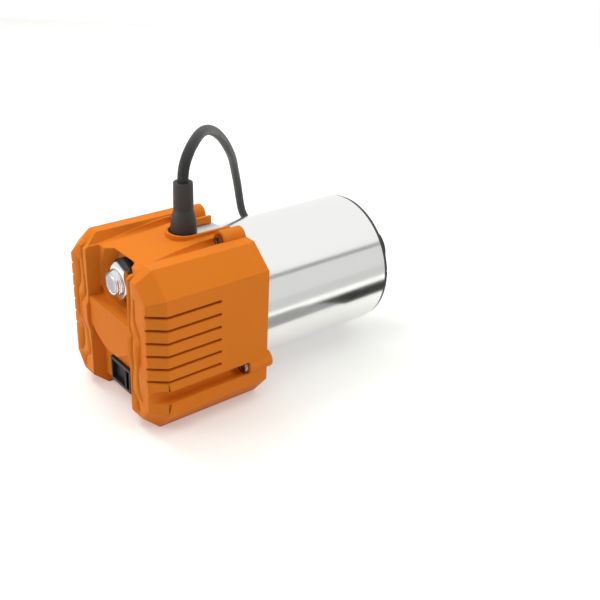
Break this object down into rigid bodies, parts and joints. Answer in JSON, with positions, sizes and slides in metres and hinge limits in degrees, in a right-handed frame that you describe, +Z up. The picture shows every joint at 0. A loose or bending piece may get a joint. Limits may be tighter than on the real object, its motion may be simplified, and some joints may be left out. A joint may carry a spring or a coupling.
{
  "type": "milling spindle motor",
  "caption": "Milling spindle motor: metal clamping tube, orange rear cover with switch and push button, nose with collet and nut, and a coiled mains lead.",
  "frame": {"origin": "on the floor under the middle of the object without its lead", "axes": "+X along the spindle axis towards the nose, +Z up out of the lead side"},
  "size_m": [0.2637, 0.203, 0.1385],
  "materials": {
    "cover_plastic": "fine moulded texture, orange",
    "screw_steel": "zinc plated",
    "black_screws": "black oxide",
    "button_chrome": "polished",
    "switch_body": "black",
    "switch_grey": "dark grey",
    "switch_black": "black",
    "boot_rubber": "matt black",
    "cord_rubber": "satin black",
    "tie_plastic": "black",
    "plug_rubber": "matt black",
    "pin_brass": "nickel plated",
    "frame_aluminium": "sand cast, grey",
    "board_green": "solder mask",
    "board_parts": "moulded",
    "holder_brown": "moulded resin",
    "carbon": "pressed carbon",
    "tube_metal": "satin, brushed round the axis",
    "ring_black": "black",
    "housing_aluminium": "machined",
    "bearing_steel": "ground",
    "lamination": "laminated sheet",
    "copper": "varnished copper",
    "fan_black": "moulded",
    "shaft_steel": "ground",
    "nut_black": "black oxide, satin"
  },
  "bodies": {
    "motor": {"rear_cover": "cover_plastic", "cover_screws": "screw_steel", "button_body": "switch_body", "button_barrel": "button_chrome", "button_nut": "button_chrome", "switch_frame": "switch_grey", "cable_boot": "boot_rubber", "rear_frame": "frame_aluminium", "control_board": "board_green", "board_parts": "board_parts", "brush_holder_near": "holder_brown", "brush_holder_far": "holder_brown", "brush_near": "carbon", "brush_far": "carbon", "body_tube": "tube_metal", "front_ring": "ring_black", "tube_screws": "screw_steel", "front_housing": "housing_aluminium", "nose_plate": "housing_aluminium", "nose_screws": "black_screws", "rear_bearing_outer": "bearing_steel", "front_bearing_outer": "bearing_steel", "stator_core": "lamination", "field_coils": "copper", "cord_free": "cord_rubber", "cord_coil": "cord_rubber", "cord_tail": "cord_rubber", "cord_tie": "tie_plastic", "plug_body": "plug_rubber", "plug_pins": "pin_brass"},
    "spindle": {"spindle_shaft": "shaft_steel", "rear_bearing_inner": "bearing_steel", "front_bearing_inner": "bearing_steel", "armature_core": "lamination", "armature_windings": "copper", "commutator": "copper", "cooling_fan": "fan_black"},
    "collet_body": {"collet": "shaft_steel"},
    "nut": {"collet_nut": "nut_black"},
    "rocker": {"switch_rocker": "switch_black"},
    "button": {"button_cap": "button_chrome"}
  },
  "joints": [
    {"name": "spindle_spin", "type": "hinge", "parent": "motor", "child": "spindle", "pos_m": [0.0241, 0, 0.0455], "axis": [1, 0, 0], "continuous": true},
    {"name": "collet_draw", "type": "slide", "parent": "spindle", "child": "collet_body", "axis": [1, 0, 0], "range_m": [0, 0.006]},
    {"name": "nut_turn", "type": "hinge", "parent": "collet_body", "child": "nut", "pos_m": [0.0901, 0, 0.0455], "axis": [1, 0, 0], "range_deg": [0, 2160]},
    {"name": "switch_rock", "type": "hinge", "parent": "motor", "child": "rocker", "pos_m": [-0.087, 0, 0.0157], "axis": [0, 0, 1], "range_deg": [0, 20]},
    {"name": "button_press", "type": "slide", "parent": "motor", "child": "button", "axis": [1, 0, 0], "range_m": [0, 0.0016], "stiffness_N_per_m": 1000, "springref_m": -0.0005}
  ],
  "couplings": [
    {"joint": "collet_draw", "follows": "nut_turn", "m_per_rad": 0.00015915}
  ]
}
